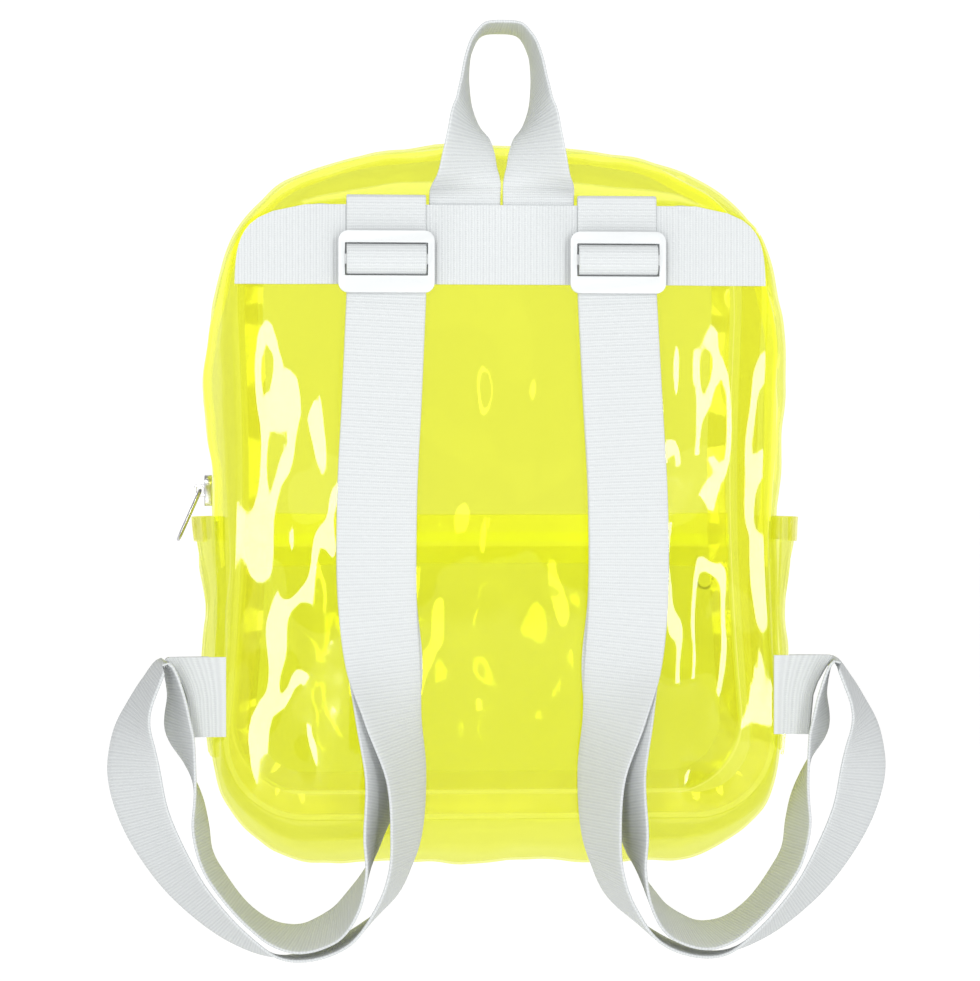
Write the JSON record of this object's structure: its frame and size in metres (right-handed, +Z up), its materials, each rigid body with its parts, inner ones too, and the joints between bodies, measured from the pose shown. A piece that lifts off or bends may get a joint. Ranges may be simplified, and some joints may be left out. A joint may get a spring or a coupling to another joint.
{
  "type": "clear stadium backpack",
  "caption": "Small clear film backpack with a rounded top, webbing yoke, haul loop, two long webbing shoulder straps, zipped main space, front pocket and side pockets",
  "frame": {"origin": "the inside top of the haul loop, where the bag hangs", "axes": "+Z up, -Y the side of the straps, +Y the side of the front pocket, +X to the right as the strap side is seen"},
  "size_m": [0.3188, 0.1475, 0.3782],
  "materials": {
    "film": "smooth translucent neon yellow film",
    "film_edge": "doubled translucent neon yellow film",
    "webbing": "white ribbed webbing",
    "strap_slider": "white moulded plastic",
    "zip_tape": "fine woven neon yellow tape",
    "zip_coil": "neon yellow plastic coil",
    "zip_metal": "bright plated zinc"
  },
  "bodies": {
    "bag": {"back_panel": "film", "front_panel": "film", "gusset": "film", "back_seam_allowance": "film_edge", "front_seam_allowance": "film_edge", "front_pocket": "film", "side_pocket_left": "film", "side_pocket_right": "film", "side_pocket_hem_left": "film_edge", "side_pocket_hem_right": "film_edge", "yoke_band": "webbing", "haul_loop": "webbing", "strap_left": "webbing", "strap_right": "webbing", "strap_tab_left": "webbing", "strap_tab_right": "webbing", "strap_slider_left": "strap_slider", "strap_slider_right": "strap_slider", "main_zip_tape": "zip_tape", "main_zip_coil": "zip_coil", "pocket_zip_tape": "zip_tape", "pocket_zip_coil": "zip_coil", "main_zip_slider": "zip_metal", "pocket_zip_slider": "zip_metal"},
    "main_pull": {"main_zip_pull": "zip_metal"},
    "pocket_pull": {"pocket_zip_pull": "zip_metal"}
  },
  "joints": [
    {"name": "main_pull_swing", "type": "hinge", "parent": "bag", "child": "main_pull", "pos_m": [-0.12336, 0.046, -0.1867], "axis": [0, 1, 0], "range_deg": [0, 130]},
    {"name": "pocket_pull_swing", "type": "hinge", "parent": "bag", "child": "pocket_pull", "pos_m": [0.09758, 0.10722, -0.2079], "axis": [1, 0, 0], "range_deg": [0, 120]}
  ]
}
